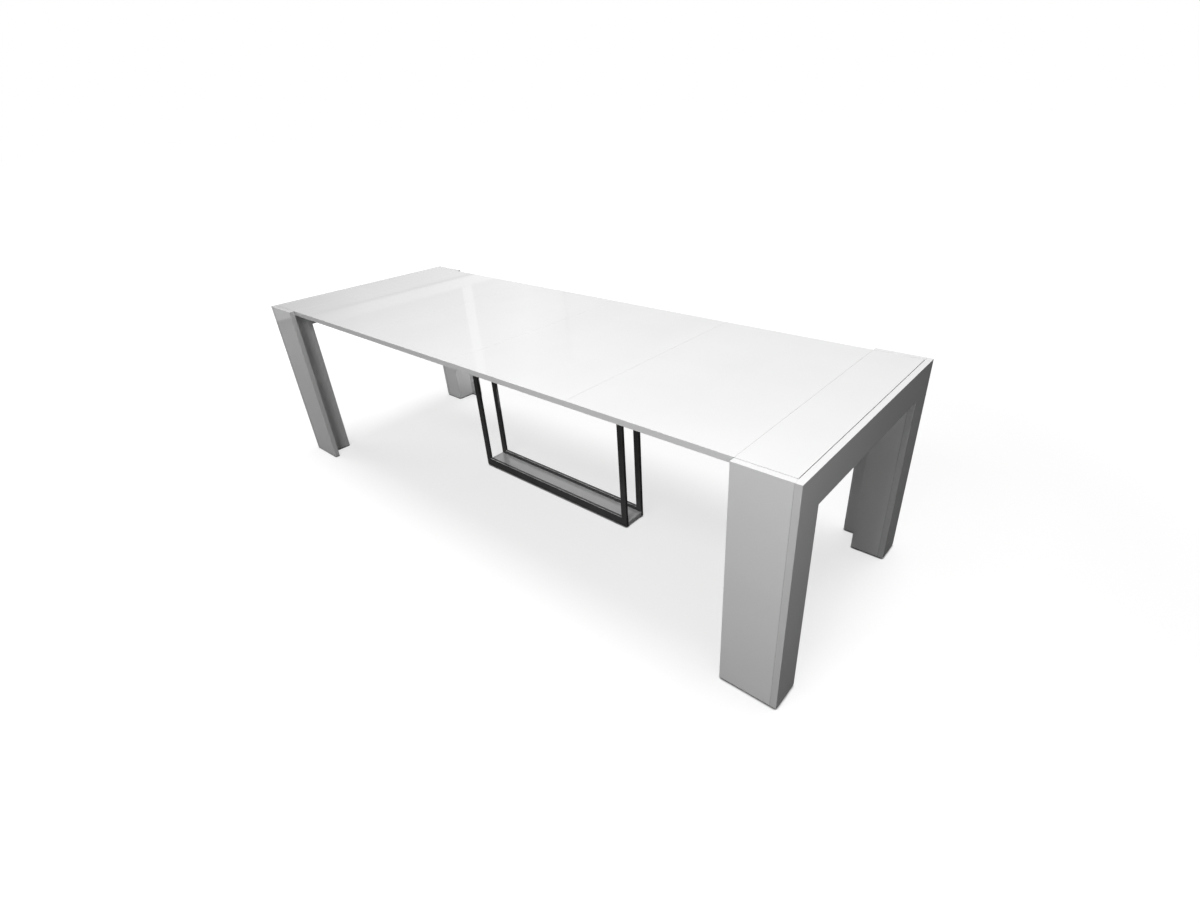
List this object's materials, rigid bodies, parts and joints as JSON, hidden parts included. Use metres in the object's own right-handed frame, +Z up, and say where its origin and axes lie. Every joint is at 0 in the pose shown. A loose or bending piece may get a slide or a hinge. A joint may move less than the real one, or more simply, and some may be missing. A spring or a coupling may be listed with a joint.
{
  "type": "extending dining table",
  "caption": "White extending dining table: boxed portal ends on telescopic rails, loose leaves between them, and a black leaf rack that turns under the middle.",
  "frame": {"origin": "on the floor under the middle of the open table", "axes": "+X along the table to its right end, +Y to its back, +Z up"},
  "size_m": [2.7, 0.95, 0.76],
  "materials": {
    "white_lacquer": "gloss lacquer",
    "carcass_board": "melamine",
    "black_steel": "satin powder coat",
    "rail_aluminium": "satin anodised",
    "steel": "zinc plated",
    "glide_plastic": "matte",
    "bearing_plastic": "matte",
    "dowel_wood": "bare beech"
  },
  "bodies": {
    "centre": {"bridge_screws": "steel", "centre_back_rail": "rail_aluminium", "centre_bridge": "carcass_board", "centre_front_rail": "rail_aluminium", "pivot_pin": "steel"},
    "right_stage_1": {"right_back_rail_1": "rail_aluminium", "right_front_rail_1": "rail_aluminium"},
    "right_stage_2": {"right_back_rail_2": "rail_aluminium", "right_front_rail_2": "rail_aluminium"},
    "right_stage_3": {"right_back_rail_3": "rail_aluminium", "right_front_rail_3": "rail_aluminium"},
    "right_stage_4": {"right_back_rail_4": "rail_aluminium", "right_front_rail_4": "rail_aluminium"},
    "left_stage_1": {"left_back_rail_1": "rail_aluminium", "left_front_rail_1": "rail_aluminium"},
    "left_stage_2": {"left_back_rail_2": "rail_aluminium", "left_front_rail_2": "rail_aluminium"},
    "left_stage_3": {"left_back_rail_3": "rail_aluminium", "left_front_rail_3": "rail_aluminium"},
    "left_stage_4": {"left_back_rail_4": "rail_aluminium", "left_front_rail_4": "rail_aluminium"},
    "right_end": {"right_back_leg_closing_panel": "white_lacquer", "right_back_leg_inner_panel": "white_lacquer", "right_back_rail_5": "rail_aluminium", "right_back_side_panel": "white_lacquer", "right_end_frame": "white_lacquer", "right_end_top": "white_lacquer", "right_feet": "glide_plastic", "right_front_leg_closing_panel": "white_lacquer", "right_front_leg_inner_panel": "white_lacquer", "right_front_rail_5": "rail_aluminium", "right_front_side_panel": "white_lacquer", "right_rail_screws": "steel", "right_rail_shelf": "carcass_board"},
    "left_end": {"left_back_leg_closing_panel": "white_lacquer", "left_back_leg_inner_panel": "white_lacquer", "left_back_rail_5": "rail_aluminium", "left_back_side_panel": "white_lacquer", "left_end_frame": "white_lacquer", "left_end_top": "white_lacquer", "left_feet": "glide_plastic", "left_front_leg_closing_panel": "white_lacquer", "left_front_leg_inner_panel": "white_lacquer", "left_front_rail_5": "rail_aluminium", "left_front_side_panel": "white_lacquer", "left_rail_screws": "steel", "left_rail_shelf": "carcass_board"},
    "rack": {"rack_back_frame": "black_steel", "rack_feet": "glide_plastic", "rack_front_frame": "black_steel", "rack_head_plate": "black_steel", "rack_shelf": "white_lacquer", "swivel_washer": "bearing_plastic"},
    "leaf_1": {"leaf_1": "white_lacquer", "leaf_1_dowels": "dowel_wood"},
    "leaf_2": {"leaf_2": "white_lacquer", "leaf_2_dowels": "dowel_wood"},
    "leaf_3": {"leaf_3": "white_lacquer", "leaf_3_dowels": "dowel_wood"},
    "leaf_4": {"leaf_4": "white_lacquer"}
  },
  "joints": [
    {"name": "right_slide_1", "type": "slide", "parent": "centre", "child": "right_stage_1", "axis": [-1, 0, 0], "range_m": [0, 0.2318]},
    {"name": "right_slide_2", "type": "slide", "parent": "right_stage_1", "child": "right_stage_2", "axis": [-1, 0, 0], "range_m": [0, 0.2318]},
    {"name": "right_slide_3", "type": "slide", "parent": "right_stage_2", "child": "right_stage_3", "axis": [-1, 0, 0], "range_m": [0, 0.2318]},
    {"name": "right_slide_4", "type": "slide", "parent": "right_stage_3", "child": "right_stage_4", "axis": [-1, 0, 0], "range_m": [0, 0.2318]},
    {"name": "right_slide_5", "type": "slide", "parent": "right_stage_4", "child": "right_end", "axis": [-1, 0, 0], "range_m": [0, 0.2318]},
    {"name": "left_slide_1", "type": "slide", "parent": "centre", "child": "left_stage_1", "axis": [1, 0, 0], "range_m": [0, 0.2318]},
    {"name": "left_slide_2", "type": "slide", "parent": "left_stage_1", "child": "left_stage_2", "axis": [1, 0, 0], "range_m": [0, 0.2318]},
    {"name": "left_slide_3", "type": "slide", "parent": "left_stage_2", "child": "left_stage_3", "axis": [1, 0, 0], "range_m": [0, 0.2318]},
    {"name": "left_slide_4", "type": "slide", "parent": "left_stage_3", "child": "left_stage_4", "axis": [1, 0, 0], "range_m": [0, 0.2318]},
    {"name": "left_slide_5", "type": "slide", "parent": "left_stage_4", "child": "left_end", "axis": [1, 0, 0], "range_m": [0, 0.2318]},
    {"name": "rack_swivel", "type": "hinge", "parent": "centre", "child": "rack", "pos_m": [0, 0, 0.658], "axis": [0, 0, 1], "range_deg": [0, 90]},
    {"name": "leaf_1_lift", "type": "slide", "parent": "centre", "child": "leaf_1", "axis": [0, 0, 1], "range_m": [0, 0.58]},
    {"name": "leaf_2_lift", "type": "slide", "parent": "centre", "child": "leaf_2", "axis": [0, 0, 1], "range_m": [0, 0.58]},
    {"name": "leaf_3_lift", "type": "slide", "parent": "centre", "child": "leaf_3", "axis": [0, 0, 1], "range_m": [0, 0.58]},
    {"name": "leaf_4_lift", "type": "slide", "parent": "centre", "child": "leaf_4", "axis": [0, 0, 1], "range_m": [0, 0.58]}
  ],
  "couplings": [
    {"joint": "right_slide_2", "follows": "right_slide_1", "ratio": 1},
    {"joint": "right_slide_3", "follows": "right_slide_1", "ratio": 1},
    {"joint": "right_slide_4", "follows": "right_slide_1", "ratio": 1},
    {"joint": "right_slide_5", "follows": "right_slide_1", "ratio": 1},
    {"joint": "left_slide_1", "follows": "right_slide_1", "ratio": 1},
    {"joint": "left_slide_2", "follows": "right_slide_1", "ratio": 1},
    {"joint": "left_slide_3", "follows": "right_slide_1", "ratio": 1},
    {"joint": "left_slide_4", "follows": "right_slide_1", "ratio": 1},
    {"joint": "left_slide_5", "follows": "right_slide_1", "ratio": 1},
    {"joint": "rack_swivel", "follows": "right_slide_1", "rad_per_m": 6.7765},
    {"joint": "leaf_1_lift", "follows": "right_slide_1", "ratio": 2.5},
    {"joint": "leaf_2_lift", "follows": "right_slide_1", "ratio": 2.5},
    {"joint": "leaf_3_lift", "follows": "right_slide_1", "ratio": 2.5},
    {"joint": "leaf_4_lift", "follows": "right_slide_1", "ratio": 2.5}
  ]
}
